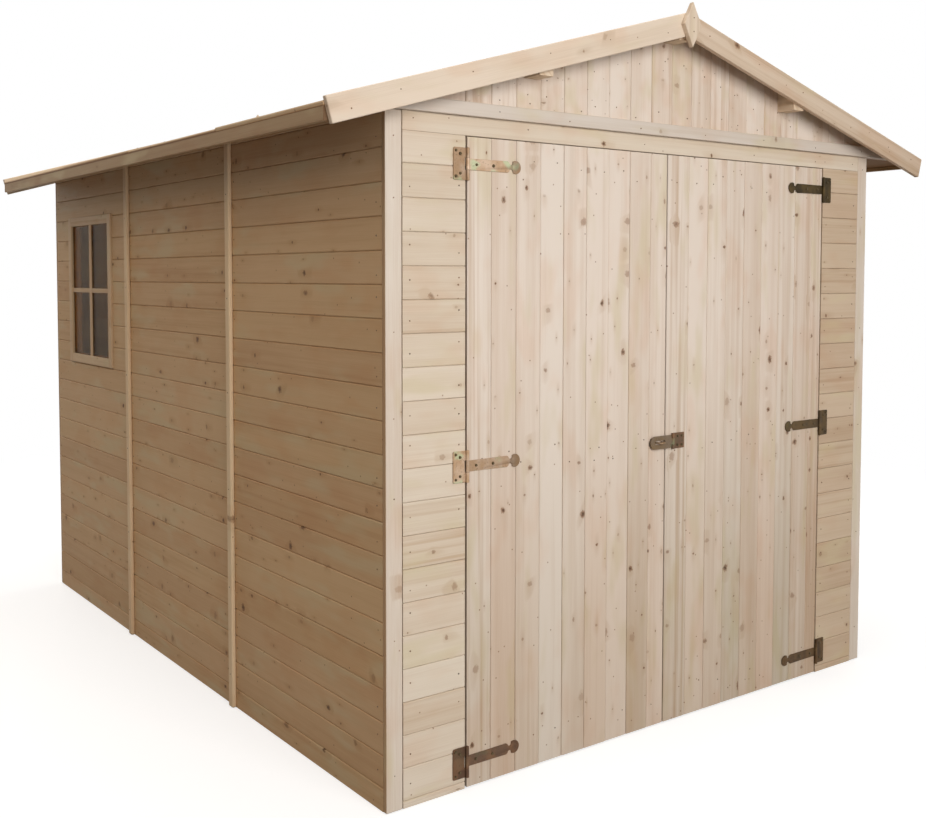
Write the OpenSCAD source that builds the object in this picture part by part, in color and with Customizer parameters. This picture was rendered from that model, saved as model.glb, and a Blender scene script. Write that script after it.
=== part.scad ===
// Wooden garden shed with a low pitched roof, double doors and one side window.
// The front faces -Y, the walls stand on z = 0 and the origin is under the middle of the roof.

/* [Walls] */
// Width of the front and back walls over their boards
wall_w = 2030; // [1700:10:2600]
// Depth from the front boards to the back boards
wall_d = 2700; // [2200:10:3600]
// Height of the front and back walls, up to the gables
wall_h = 1800; // [1700:10:2100]
// Thickness of the wall, gable and door boards
board_t = 16; // [10:1:24]
// Number of panels in each side wall
side_panels = 3; // [3:1:5]
// Width of the corner trims
trim_w = 50; // [30:1:70]
// Thickness of the cover strips and friezes
trim_t = 14; // [8:1:20]
// Width of the strips that cover the panel joints
strip_w = 30; // [20:1:50]
// Height of the frieze boards at the foot of the gables
frieze_h = 36; // [25:1:60]

/* [Frame] */
// Width of the studs, and height of the rails
stud_w = 45; // [30:1:70]
// Depth of the studs and rails behind the boards
stud_d = 28; // [20:1:45]

/* [Roof] */
// Rise of the underside of the roof above the front wall, at the faces of the side walls
side_rise = 40.5; // [20:0.5:120]
// Pitch of the roof in degrees
roof_pitch = 16.2; // [14:0.1:18]
// Thickness of the roof boards
roof_t = 12; // [9:1:24]
// Reach of the eaves past the side walls, in plan
eave_overhang = 215; // [180:1:260]
// Reach of the roof boards past the front wall
front_overhang = 64; // [40:1:120]
// Reach of the roof boards past the back wall
back_overhang = 18; // [16:1:120]
// Length of the front roof panel, along the ridge
roof_front_panel = 600; // [450:1:760]
// Length of each middle roof panel, along the ridge
roof_middle_panel = 676; // [450:1:760]
// Height of the left eave fascia at its outer face
fascia_h = 34; // [24:1:60]
// Height of the right eave fascia, a lath, at its outer face
right_fascia_h = 8; // [6:1:60]
// Thickness of the eave fascias
fascia_t = 16; // [10:1:24]
// Width of the barge boards, square to the slope
barge_w = 67; // [50:1:100]
// Thickness of the barge boards
barge_t = 16; // [10:1:24]
// Rise of the barge boards above the roof boards
barge_rise = 10; // [4:1:20]
// Height of the diamond finials
finial_h = 133; // [100:1:180]
// Width of the diamond finials
finial_w = 72; // [50:1:90]
// Thickness of the diamond finials
finial_t = 16; // [10:1:24]
// Rise of the finial tips above the barge boards
finial_rise = 27; // [10:1:40]
// Distance from the ridge line to the middle of each purlin
purlin_offset = 540; // [400:1:700]
// Width of the purlins and the ridge beam
purlin_w = 48; // [36:1:70]
// Depth of the purlins below the roof boards at their middle
purlin_h = 60; // [40:1:100]
// Depth of the ridge beam below the roof boards
ridge_beam_h = 58; // [50:1:120]

/* [Doors] */
// Width of the fixed wall beside the doors, each side
section_w = 252; // [220:1:400]
// Height of the header board over the doors
header_h = 48; // [40:1:90]
// Gap round the door leaves
door_gap = 5; // [5:0.5:8]
// Gap between the door leaves and the ground
door_foot_gap = 3; // [2:1:30]
// Height of the ledges behind the door boards
ledge_h = 70; // [50:1:110]
// Thickness of the ledges
ledge_t = 22; // [16:1:26]
// Distance from the ledge ends to the edges of the leaf
ledge_inset = 40; // [30:1:80]

/* [Hinges] */
// Height of the lowest hinges
hinge_low_z = 75; // [60:1:150]
// Distance from the top of a leaf down to its top hinges
hinge_top_drop = 72; // [60:1:150]
// Width of the wall plate, from the pin
plate_w = 45; // [40:1:80]
// Height of the wall plate
plate_h = 85; // [70:1:120]
// Thickness of the hinge and hasp plates
plate_t = 3; // [2:0.5:4]
// Length of the strap from the pin to the middle of its round end
strap_l = 165; // [120:1:220]
// Height of the strap
strap_h = 30; // [20:1:40]
// Diameter of the strap's round end
strap_end_d = 36; // [28:1:50]
// Outer diameter of the hinge barrels
barrel_d = 10; // [8:0.5:12]
// Diameter of the hinge pins
pin_d = 5; // [4:0.5:6]

/* [Hasp] */
// Height of the hasp, and of the middle hinges and ledges
hasp_z = 876; // [700:1:1100]
// Height of the hasp plate
hasp_plate_h = 48; // [40:1:60]
// Length of the hasp plate from its pin
hasp_plate_l = 52; // [40:1:70]
// Distance from the hasp pin to the middle of the gap between the leaves
hasp_pin_offset = 29; // [20:1:40]
// Distance from the middle of the gap between the leaves to the staple
staple_offset = 30; // [26:1:40]
// Height of the hasp strap
hasp_strap_h = 40; // [30:1:50]
// Length of the slot in the hasp strap
slot_l = 42; // [40:0.5:46]
// Height of the slot in the hasp strap
slot_h = 12; // [11:0.5:16]
// Wall left between the slot and the tip of the strap
slot_end_wall = 20; // [12:1:30]
// Reach of the staple in front of the door boards
staple_reach = 24; // [18:1:30]
// Distance between the middles of the staple's legs
staple_span = 24; // [18:1:26]
// Diameter of the staple's wire
staple_d = 6; // [4:0.5:7]

/* [Window] */
// Width of the window frame
window_w = 520; // [400:1:620]
// Height of the window frame
window_h = 612; // [450:1:650]
// Distance from the top of the front wall down to the head of the window frame
window_drop = 172; // [120:1:400]
// Width of the frame members
window_member = 36; // [30:1:60]
// Depth of the window frame
window_depth = 46; // [38:1:60]
// Reach of the window frame in front of the wall boards
window_proud = 8; // [2:1:16]
// Thickness of the glass
glass_t = 4; // [3:0.5:6]
// Depth of the glass behind the face of the frame
glass_set = 10; // [6:1:28]

/* [Hidden] */
$fn = 48;
// Overrun of cuts past the solids that they cut
cut = 4;
// Gap between pieces that stand loosely on each other
seat_gap = 0.3;
// Gap between like pieces that lie side by side
joint_gap = 2;
// Radial clearance of a hinge pin in its barrel
pin_gap = 0.3;
// Clearance between barrels along a pin
barrel_gap = 0.5;
// Clearance between the hasp strap and the door boards
hasp_gap = 5.5;
// Share of the hinge plate's height that the strap's barrel takes
strap_barrel_share = 0.36;
// Share of the hasp plate's height that the hasp strap's barrel takes
hasp_barrel_share = 0.4;

half_w = wall_w / 2;
half_roof = half_w + eave_overhang;
slope = tan(roof_pitch);
// Height of the ridge of the roof boards
ridge_h = wall_h + side_rise + half_w * slope + roof_t / cos(roof_pitch);
front_reach = front_overhang + barge_t + finial_t;
back_reach = back_overhang + barge_t + finial_t;
// Outer faces of the front and back wall boards
front_y = front_reach - (front_reach + wall_d + back_reach) / 2;
back_y = front_y + wall_d;
// Inner faces of the front, back and side wall boards
front_in = front_y + board_t;
back_in = back_y - board_t;
side_in = half_w - board_t;
// Outer ends of the front and back wall boards, beside the corner trims
board_end = half_w - trim_w - joint_gap;
// Ends of the roof boards
roof_front = front_y - front_overhang;
roof_back = back_y + back_overhang;
barge_top = ridge_h + barge_rise;
header_z = wall_h - header_h;
opening_half = half_w - section_w;
leaf_w = opening_half - door_gap - door_gap / 2;
leaf_h = header_z - door_gap - door_foot_gap;
panel_l = wall_d / side_panels;
// Hinge pins stand in the middle of the gap beside a leaf, in front of the boards
barrel_r = barrel_d / 2;
pin_y = front_y - barrel_r - barrel_gap;
hinge_x = opening_half - door_gap / 2;
hinge_top_z = header_z - door_gap - hinge_top_drop;
hinge_zs = [hinge_low_z, hasp_z, hinge_top_z];
hasp_strap_l = hasp_pin_offset + staple_offset + slot_l / 2 + slot_end_wall;
// Length of the side wall panels inside the front and back boards
side_joints = [for (i = [0:side_panels]) i == 0 ? front_in : i == side_panels ? back_in : front_y + i * panel_l];
window_z = wall_h - window_drop - window_h;
window_y = (side_joints[side_panels - 1] + side_joints[side_panels]) / 2;
// Ends of the roof panels along the ridge
roof_ends = [
    roof_front,
    roof_front + roof_front_panel,
    roof_front + roof_front_panel + roof_middle_panel,
    roof_front + roof_front_panel + roof_middle_panel + roof_middle_panel,
    roof_back
];
// Room side of the studs on the side, front and back walls
stud_in = side_in - stud_d;
front_stud_in = front_in + stud_d;
back_stud_in = back_in - stud_d;
// Outer end of the front and back wall frames, clear of the side wall studs
frame_half = stud_in - joint_gap;
// Inner end of the front wall frame, set back from the doorway
jamb_x = opening_half + door_gap;

// Height of the underside of the roof boards at a distance from the ridge line
function roof_under(x) = ridge_h - roof_t / cos(roof_pitch) - abs(x) * slope;

// Distance from the ridge line at which the underside of the roof boards has a height
function roof_reach(z) = (ridge_h - roof_t / cos(roof_pitch) - z) / slope;

// Box between two corners
module block(low, high) {
    translate(low)
        cube(high - low);
}

// Outline in x and z, from y0 back by t
module slab_xz(points, y0, t) {
    translate([0, y0 + t, 0])
        rotate([90, 0, 0])
            linear_extrude(height = t)
                polygon(points);
}

// Copy on both sides of the ridge line
module both_sides() {
    children();
    mirror([1, 0, 0])
        children();
}

// Side wall panel on the left, with its top cut to the roof
module side_panel(i) {
    low = side_joints[i];
    high = side_joints[i + 1];
    slab_xz([
        [-half_w, 0],
        [-side_in, 0],
        [-side_in, roof_under(side_in) - seat_gap],
        [-half_w, roof_under(half_w) - seat_gap]
    ], low, high - low);
}

module left_wall_front_panel() {
    color("burlywood")
        side_panel(0);
}

// Panels between the front one and the rear one
module middle_panels() {
    for (i = [1:side_panels - 2])
        side_panel(i);
}

module left_wall_middle_panel() {
    color("burlywood")
        middle_panels();
}

module left_wall_rear_panel() {
    color("burlywood")
        difference() {
            side_panel(side_panels - 1);
            block(
                [-half_w - cut, window_y - window_w / 2, window_z],
                [-side_in + cut, window_y + window_w / 2, window_z + window_h]
            );
        }
}

module right_wall_front_panel() {
    color("burlywood")
        mirror([1, 0, 0])
            side_panel(0);
}

module right_wall_middle_panel() {
    color("burlywood")
        mirror([1, 0, 0])
            middle_panels();
}

module right_wall_rear_panel() {
    color("burlywood")
        mirror([1, 0, 0])
            side_panel(side_panels - 1);
}

module back_wall_left_panel() {
    color("burlywood")
        block([-board_end, back_in, 0], [0, back_y, wall_h]);
}

module back_wall_right_panel() {
    color("burlywood")
        block([0, back_in, 0], [board_end, back_y, wall_h]);
}

module front_wall_left_section() {
    color("wheat")
        block([-board_end, front_y, 0], [-opening_half, front_in, header_z]);
}

module front_wall_right_section() {
    color("wheat")
        block([opening_half, front_y, 0], [board_end, front_in, header_z]);
}

module door_header() {
    color("wheat")
        block([-board_end, front_y, header_z], [board_end, front_in, wall_h]);
}

// Gable triangle that stands on a wall, notched for the ridge beam and the purlins
module gable(y0) {
    foot = roof_reach(wall_h + seat_gap);
    purlin_foot = roof_under(purlin_offset) - purlin_h - seat_gap;
    beam_foot = roof_under(0) - ridge_beam_h - seat_gap;
    purlin_half = purlin_w / 2 + seat_gap;
    p_out = purlin_offset + purlin_half;
    p_in = purlin_offset - purlin_half;
    half = [
        [foot, wall_h],
        [p_out, roof_under(p_out) - seat_gap],
        [p_out, purlin_foot],
        [p_in, purlin_foot],
        [p_in, roof_under(p_in) - seat_gap],
        [purlin_half, roof_under(purlin_half) - seat_gap],
        [purlin_half, beam_foot]
    ];
    slab_xz(concat(half, [for (i = [len(half) - 1:-1:0]) [-half[i][0], half[i][1]]]), y0, board_t);
}

module front_gable() {
    color("wheat")
        gable(front_y);
}

module back_gable() {
    color("wheat")
        gable(back_in);
}

// Frieze board at the foot of a gable, its ends cut to the roof
module frieze(y0) {
    foot = roof_reach(wall_h + seat_gap);
    head = roof_reach(wall_h + frieze_h + seat_gap);
    slab_xz([
        [-foot, wall_h],
        [foot, wall_h],
        [head, wall_h + frieze_h],
        [-head, wall_h + frieze_h]
    ], y0, trim_t);
}

module front_frieze() {
    color("antiquewhite")
        frieze(front_y - trim_t);
}

module back_frieze() {
    color("antiquewhite")
        frieze(back_y);
}

// Trims that cover the ends of the side walls, level with the front and back boards
module front_corner_trims() {
    color("antiquewhite")
        both_sides()
            block([-half_w, front_y, 0], [-half_w + trim_w, front_in, wall_h]);
}

module back_corner_trims() {
    color("antiquewhite")
        both_sides()
            block([-half_w, back_in, 0], [-half_w + trim_w, back_y, wall_h]);
}

// Strips on the side walls, tops cut to the roof
module side_cover_strips() {
    outer = half_w + trim_t;
    color("antiquewhite")
        both_sides()
            for (i = [1:side_panels - 1])
                slab_xz([
                    [-outer, 0],
                    [-half_w, 0],
                    [-half_w, roof_under(half_w) - seat_gap],
                    [-outer, roof_under(outer) - seat_gap]
                ], side_joints[i] - strip_w / 2, strip_w);
}

module back_cover_strip() {
    color("antiquewhite")
        block([-strip_w / 2, back_y, 0], [strip_w / 2, back_y + trim_t, wall_h]);
}

// Ends of the rails between the studs of a side panel
function rail_low(i) = side_joints[i] + stud_w + (i == 0 ? 0 : joint_gap / 2);
function rail_high(i) = side_joints[i + 1] - stud_w - (i == side_panels - 1 ? 0 : joint_gap / 2);

// Studs of every wall panel
module wall_studs() {
    color("tan") {
        both_sides() {
            for (i = [0:side_panels - 1]) {
                block([-side_in, rail_low(i) - stud_w, 0], [-stud_in, rail_low(i), wall_h]);
                block([-side_in, rail_high(i), 0], [-stud_in, rail_high(i) + stud_w, wall_h]);
            }
            block([-frame_half, front_in, 0], [-frame_half + stud_w, front_stud_in, header_z]);
            block([-jamb_x - stud_w, front_in, 0], [-jamb_x, front_stud_in, header_z]);
            block([-frame_half, back_stud_in, 0], [-frame_half + stud_w, back_in, wall_h]);
            block([-stud_w - joint_gap / 2, back_stud_in, 0], [-joint_gap / 2, back_in, wall_h]);
        }
    }
}

// Rails of every wall panel, from z up
module panel_rails(z) {
    both_sides() {
        for (i = [0:side_panels - 1])
            block([-side_in, rail_low(i), z], [-stud_in, rail_high(i), z + stud_w]);
        block([-frame_half + stud_w, back_stud_in, z], [-stud_w - joint_gap / 2, back_in, z + stud_w]);
    }
}

module bottom_rails() {
    color("tan") {
        panel_rails(0);
        both_sides()
            block([-frame_half + stud_w, front_in, 0], [-jamb_x - stud_w, front_stud_in, stud_w]);
    }
}

module top_rails() {
    color("tan") {
        panel_rails(wall_h - stud_w);
        block([-frame_half, front_in, header_z], [frame_half, front_stud_in, wall_h]);
    }
}

// Window frame round the glass, set into the rear panel
module window_frame() {
    outer = half_w + window_proud;
    color("wheat")
        difference() {
            block(
                [-outer, window_y - window_w / 2 + seat_gap, window_z + seat_gap],
                [-outer + window_depth, window_y + window_w / 2 - seat_gap, window_z + window_h - seat_gap]
            );
            block(
                [-outer - cut, window_y - window_w / 2 + window_member, window_z + window_member],
                [
                    -outer + window_depth + cut,
                    window_y + window_w / 2 - window_member,
                    window_z + window_h - window_member
                ]
            );
        }
}

// One sheet of glass that fills the frame
module window_glass() {
    face = -half_w - window_proud + glass_set;
    inset = window_member + seat_gap;
    color("slategray")
        block(
            [face, window_y - window_w / 2 + inset, window_z + inset],
            [face + glass_t, window_y + window_w / 2 - inset, window_z + window_h - inset]
        );
}

// Beam under the ridge, its top cut to both slopes
module ridge_beam() {
    half = purlin_w / 2;
    foot = roof_under(0) - ridge_beam_h;
    color("burlywood")
        slab_xz([
            [-half, foot],
            [half, foot],
            [half, roof_under(half) - seat_gap],
            [0, roof_under(0) - seat_gap],
            [-half, roof_under(half) - seat_gap]
        ], roof_front, roof_back - roof_front);
}

// Purlins halfway down the slopes, their tops cut to the roof
module purlins() {
    near = purlin_offset - purlin_w / 2;
    far = purlin_offset + purlin_w / 2;
    foot = roof_under(purlin_offset) - purlin_h;
    color("burlywood")
        both_sides()
            slab_xz([
                [-far, foot],
                [-near, foot],
                [-near, roof_under(near) - seat_gap],
                [-far, roof_under(far) - seat_gap]
            ], roof_front, roof_back - roof_front);
}

// Panels of roof boards on the left slope
module roof_slope() {
    ridge_x = joint_gap / 2;
    edge_x = half_roof - roof_t * sin(roof_pitch);
    for (i = [0:len(roof_ends) - 2]) {
        low = roof_ends[i] + (i == 0 ? 0 : joint_gap / 2);
        high = roof_ends[i + 1] - (i == len(roof_ends) - 2 ? 0 : joint_gap / 2);
        slab_xz([
            [-ridge_x, roof_under(ridge_x)],
            [-ridge_x, ridge_h - ridge_x * slope],
            [-half_roof, ridge_h - half_roof * slope],
            [-edge_x, roof_under(edge_x)]
        ], low, high - low);
    }
}

module left_roof_panels() {
    color("tan")
        roof_slope();
}

module right_roof_panels() {
    color("tan")
        mirror([1, 0, 0])
            roof_slope();
}

// Fascias under the edges of the roof boards, level with them
module eave_fascia(h) {
    outer = half_roof - roof_t * sin(roof_pitch);
    inner = outer - fascia_t;
    foot = roof_under(outer) - h;
    slab_xz([
        [-outer, foot],
        [-inner, foot],
        [-inner, roof_under(inner) - seat_gap],
        [-outer, roof_under(outer) - seat_gap]
    ], roof_front, roof_back - roof_front);
}

module eave_fascias() {
    color("tan") {
        eave_fascia(fascia_h);
        mirror([1, 0, 0])
            eave_fascia(right_fascia_h);
    }
}

// Pair of barge boards that meet at the ridge
module barge_boards(y0) {
    ridge_x = joint_gap / 2;
    depth = barge_w / cos(roof_pitch);
    end_x = half_roof - barge_w * sin(roof_pitch);
    both_sides()
        slab_xz([
            [-ridge_x, barge_top - depth - ridge_x * slope],
            [-ridge_x, barge_top - ridge_x * slope],
            [-half_roof, barge_top - half_roof * slope],
            [-end_x, barge_top - depth - end_x * slope]
        ], y0, barge_t);
}

module front_barge_boards() {
    color("bisque")
        barge_boards(roof_front - barge_t);
}

module back_barge_boards() {
    color("bisque")
        barge_boards(roof_back);
}

// Diamond on the meeting of the barge boards
module finial(y0) {
    tip = barge_top + finial_rise;
    slab_xz([
        [0, tip],
        [-finial_w / 2, tip - finial_h / 2],
        [0, tip - finial_h],
        [finial_w / 2, tip - finial_h / 2]
    ], y0, finial_t);
}

module front_finial() {
    color("bisque")
        finial(roof_front - barge_t - finial_t);
}

module back_finial() {
    color("bisque")
        finial(roof_back + barge_t);
}

// Boards of the left leaf, as one slab
module leaf_boards() {
    block(
        [-opening_half + door_gap, front_y, door_foot_gap],
        [-opening_half + door_gap + leaf_w, front_in, door_foot_gap + leaf_h]
    );
}

module left_door_boards() {
    color("antiquewhite")
        leaf_boards();
}

module right_door_boards() {
    color("antiquewhite")
        mirror([1, 0, 0])
            leaf_boards();
}

// Ledges across the back of the left leaf, behind its hinges
module leaf_ledges() {
    low = -opening_half + door_gap + ledge_inset;
    high = -opening_half + door_gap + leaf_w - ledge_inset;
    for (z = hinge_zs) {
        foot = max(z - ledge_h / 2, door_foot_gap);
        block([low, front_in, foot], [high, front_in + ledge_t, foot + ledge_h]);
    }
}

module left_door_ledges() {
    color("tan")
        leaf_ledges();
}

module right_door_ledges() {
    color("tan")
        mirror([1, 0, 0])
            leaf_ledges();
}

// Two barrels with a pin through them, about the z axis, over a height, with room for a third
module pin_barrels(height, middle) {
    barrel_l = (height - middle) / 2 - barrel_gap;
    translate([0, 0, -height / 2])
        cylinder(h = barrel_l, r = barrel_r);
    translate([0, 0, height / 2 - barrel_l])
        cylinder(h = barrel_l, r = barrel_r);
    translate([0, 0, -height / 2])
        cylinder(h = height, d = pin_d);
}

// Wall plate of one hinge, on the left of its pin
module hinge_plate() {
    middle = plate_h * strap_barrel_share;
    back = front_y - pin_y;
    difference() {
        block([-plate_w, back - plate_t, -plate_h / 2], [0, back, plate_h / 2]);
        block(
            [-barrel_d, back - plate_t - cut, -middle / 2 - barrel_gap],
            [cut, back + cut, middle / 2 + barrel_gap]
        );
    }
    pin_barrels(plate_h, middle);
}

// Strap of one hinge, on the right of its pin, with a round end
module hinge_strap() {
    back = front_y - pin_y;
    middle = plate_h * strap_barrel_share;
    difference() {
        union() {
            translate([0, 0, -middle / 2])
                cylinder(h = middle, r = barrel_r);
            block([0, back - plate_t, -strap_h / 2], [strap_l, back, strap_h / 2]);
            translate([strap_l, back, 0])
                rotate([90, 0, 0])
                    cylinder(h = plate_t, d = strap_end_d);
        }
        translate([0, 0, -middle / 2 - cut])
            cylinder(h = middle + cut + cut, r = pin_d / 2 + pin_gap);
    }
}

// Place for the hinges of the left leaf
module at_hinges() {
    for (z = hinge_zs)
        translate([-hinge_x, pin_y, z])
            children();
}

module left_hinge_plates() {
    color("darkgoldenrod")
        at_hinges()
            hinge_plate();
}

module right_hinge_plates() {
    color("darkgoldenrod")
        mirror([1, 0, 0])
            at_hinges()
                hinge_plate();
}

module left_hinge_straps() {
    color("darkgoldenrod")
        at_hinges()
            hinge_strap();
}

module right_hinge_straps() {
    color("darkgoldenrod")
        mirror([1, 0, 0])
            at_hinges()
                hinge_strap();
}

// Fixed plate of the hasp on the right leaf, with its pin
module hasp_plate() {
    middle = hasp_plate_h * hasp_barrel_share;
    back = front_y - pin_y;
    color("darkolivegreen")
        translate([hasp_pin_offset, pin_y, hasp_z]) {
            difference() {
                block([0, back - plate_t, -hasp_plate_h / 2], [hasp_plate_l, back, hasp_plate_h / 2]);
                block(
                    [-cut, back - plate_t - cut, -middle / 2 - barrel_gap],
                    [barrel_d, back + cut, middle / 2 + barrel_gap]
                );
            }
            pin_barrels(hasp_plate_h, middle);
        }
}

// Hinged strap of the hasp, with a round end and a slot for the staple
module hasp_strap() {
    middle = hasp_plate_h * hasp_barrel_share;
    back = front_y - hasp_gap - pin_y;
    round_x = -hasp_strap_l + hasp_strap_h / 2;
    slot_x = -hasp_pin_offset - staple_offset;
    root_x = -barrel_d;
    color("darkolivegreen")
        translate([hasp_pin_offset, pin_y, hasp_z])
            difference() {
                union() {
                    translate([0, 0, -middle / 2])
                        cylinder(h = middle, r = barrel_r);
                    block([root_x, back - plate_t, -middle / 2], [0, back, middle / 2]);
                    block([round_x, back - plate_t, -hasp_strap_h / 2], [root_x, back, hasp_strap_h / 2]);
                    translate([round_x, back, 0])
                        rotate([90, 0, 0])
                            cylinder(h = plate_t, d = hasp_strap_h);
                }
                translate([0, 0, -middle / 2 - cut])
                    cylinder(h = middle + cut + cut, r = pin_d / 2 + pin_gap);
                block(
                    [slot_x - slot_l / 2, back - plate_t - cut, -slot_h / 2],
                    [slot_x + slot_l / 2, back + cut, slot_h / 2]
                );
            }
}

// Wire staple on the left leaf, which stands through the hasp's slot
module hasp_staple() {
    leg_l = staple_reach - staple_span / 2 - staple_d / 2;
    color("darkolivegreen")
        translate([-staple_offset, front_y, hasp_z]) {
            for (side = [-1, 1])
                translate([side * staple_span / 2, 0, 0])
                    rotate([90, 0, 0])
                        cylinder(h = leg_l, d = staple_d);
            translate([0, -leg_l, 0])
                rotate([0, 0, 180])
                    rotate_extrude(angle = 180)
                        translate([staple_span / 2, 0])
                            circle(d = staple_d);
        }
}

left_wall_front_panel();
left_wall_middle_panel();
left_wall_rear_panel();
right_wall_front_panel();
right_wall_middle_panel();
right_wall_rear_panel();
back_wall_left_panel();
back_wall_right_panel();
front_wall_left_section();
front_wall_right_section();
door_header();
front_gable();
back_gable();
front_frieze();
back_frieze();
front_corner_trims();
back_corner_trims();
side_cover_strips();
back_cover_strip();
wall_studs();
bottom_rails();
top_rails();
window_frame();
window_glass();
ridge_beam();
purlins();
left_roof_panels();
right_roof_panels();
eave_fascias();
front_barge_boards();
back_barge_boards();
front_finial();
back_finial();
left_door_boards();
right_door_boards();
left_door_ledges();
right_door_ledges();
left_hinge_plates();
right_hinge_plates();
left_hinge_straps();
right_hinge_straps();
hasp_plate();
hasp_strap();
hasp_staple();
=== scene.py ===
import math
import random
from functools import partial
import bmesh
import bpy
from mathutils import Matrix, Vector


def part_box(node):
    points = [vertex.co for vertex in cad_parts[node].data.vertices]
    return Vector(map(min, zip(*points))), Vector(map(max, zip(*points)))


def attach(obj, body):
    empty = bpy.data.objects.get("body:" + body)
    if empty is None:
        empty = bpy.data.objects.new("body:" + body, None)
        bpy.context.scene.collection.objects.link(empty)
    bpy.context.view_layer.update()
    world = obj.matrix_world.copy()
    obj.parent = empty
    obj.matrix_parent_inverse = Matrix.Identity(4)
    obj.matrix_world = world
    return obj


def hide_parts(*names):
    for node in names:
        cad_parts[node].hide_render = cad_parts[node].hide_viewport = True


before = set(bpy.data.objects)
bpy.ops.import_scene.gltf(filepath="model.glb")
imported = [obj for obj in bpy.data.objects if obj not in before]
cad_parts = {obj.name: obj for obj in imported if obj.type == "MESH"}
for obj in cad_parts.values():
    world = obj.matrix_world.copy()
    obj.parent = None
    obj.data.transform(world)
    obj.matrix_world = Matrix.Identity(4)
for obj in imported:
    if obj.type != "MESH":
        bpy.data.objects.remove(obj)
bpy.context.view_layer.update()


# Camera. It stands to the left of the front, about as high as a person's chest, and looks slightly down
# at the front left corner. Its frame is shifted so that the corner posts stay nearly upright.
def placed(name, data):
    """New object in the scene."""
    thing = bpy.data.objects.new(name, data)
    bpy.context.scene.collection.objects.link(thing)
    return thing


lens = bpy.data.cameras.new("camera")
lens.sensor_width = 36
lens.lens = 43.567
lens.shift_x = 0.0220
lens.shift_y = -0.0838
camera = placed("camera", lens)
camera.location = (-2.5413, -3.6935, 1.3808)
camera.rotation_euler = (math.radians(87.184), 0, math.radians(-35.744))
bpy.context.scene.camera = camera


# Side walls. Panels of planed softwood boards, laid flat, each with a tongue on its upper edge, a groove in
# its lower one and a small bevel on both, nailed to upright studs and cut to the roof along the top.
half_width = 1.015
board_thick = 0.016
board_bevel = 0.0018
wall_cover = 0.606 / 7
wall_bevel = 0.0026
wall_line = 1.619
wall_foot = wall_line - 19 * wall_cover
wall_rows = 22
tongue_length = 0.0035
panel_gap = 0.0004
window_gap = 0.0003
gap_to_roof = 0.0003
roof_pitch = math.radians(16.2)
roof_fall = math.tan(roof_pitch)
under_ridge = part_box("left_roof_panels")[1].z - 0.012 / math.cos(roof_pitch)
chance = random.Random(16)
nails = {"shed": [], "left_door": [], "right_door": []}


def roof_under(x):
    """Height of the underside of the roof boards, less a hair, at a distance from the ridge line."""
    return under_ridge - abs(x) * roof_fall


def sway(reach):
    """Random amount to either side of nought."""
    return chance.uniform(-reach, reach)


def nail(x, y, z, facing, body="shed"):
    """Notes the place of a nail and the way its head faces."""
    nails[body].append(((x, y, z), facing))


def paint(red, green, blue):
    """Linear colour of three screen values from 0 to 255."""
    return tuple(
        c / 3294.6 if c < 10.32 else ((c / 255 + 0.055) / 1.055) ** 2.4 for c in (red, green, blue)
    ) + (1,)


def feed(tree, node, inputs):
    """Sets inputs of a node to values or joins them to sockets."""
    for key, value in inputs.items():
        if isinstance(value, bpy.types.NodeSocket):
            tree.links.new(value, node.inputs[key])
        else:
            node.inputs[key].default_value = value


def make(tree, kind, inputs={}, **settings):
    """Outputs of a new node."""
    node = tree.nodes.new(kind)
    for key, value in settings.items():
        setattr(node, key, value)
    feed(tree, node, inputs)
    return node.outputs


def add(tree, kind, inputs={}, out=0, **settings):
    """One output of a new node."""
    return make(tree, kind, inputs, **settings)[out]


def calc(tree, operation, *values):
    """Output of a math node."""
    return add(tree, "ShaderNodeMath", dict(enumerate(values)), operation=operation)


def blend(tree, share, first, second, kind="MIX"):
    """Colour between two colours."""
    return add(tree, "ShaderNodeMix", {0: share, 6: first, 7: second}, 2, data_type="RGBA", blend_type=kind)


def ramp(tree, value, low, high):
    """Smooth step from 0 at the low value to 1 at the high one."""
    return add(tree, "ShaderNodeMapRange", {0: value, 1: low, 2: high}, interpolation_type="SMOOTHSTEP")


def own_place(tree):
    """Place in the object's own frame."""
    return add(tree, "ShaderNodeTexCoord", out=3)


def vector(tree, operation, *values, out=0):
    """Output of a vector math node."""
    return add(tree, "ShaderNodeVectorMath", dict(enumerate(values)), out, operation=operation)


def clouds(tree, place, scale, detail=2, rough=0.5):
    """Even noise."""
    return add(tree, "ShaderNodeTexNoise", {
        "Vector": place, "Scale": scale, "Detail": detail, "Roughness": rough})


def streak_noise(tree, grain, along, across, depth, detail):
    """Noise that is stretched along the grain."""
    return clouds(tree, vector(tree, "MULTIPLY", grain, (along, across, depth)), 1, detail, 0.6)


def new_group(name, kind, inputs, outputs):
    """Empty node group with named sockets, and the sockets that it is given."""
    tree = bpy.data.node_groups.new(name, kind)
    for way, sockets in (("INPUT", inputs), ("OUTPUT", outputs)):
        for label, sort in sockets.items():
            tree.interface.new_socket(label, in_out=way, socket_type="NodeSocket" + sort)
    return tree, make(tree, "NodeGroupInput")


def new_material(name):
    """Material with nodes, its tree and its shader."""
    material = bpy.data.materials.new(name)
    material.use_nodes = True
    return material, material.node_tree, material.node_tree.nodes["Principled BSDF"]


surface = {"Colour": "Color", "Roughness": "Float", "Height": "Float"}


def coated(tree, shader, group, inputs, shine, bump, depth):
    """Gives a shader the colour, roughness and unevenness that a node group makes of its inputs."""
    made = make(tree, "ShaderNodeGroup", inputs, node_tree=group)
    normal = add(tree, "ShaderNodeBump", {"Height": made["Height"], "Strength": bump, "Distance": depth})
    feed(tree, shader, {
        "Base Color": made["Colour"], "Roughness": made["Roughness"], "Specular IOR Level": shine,
        "Normal": normal,
    })


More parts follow.
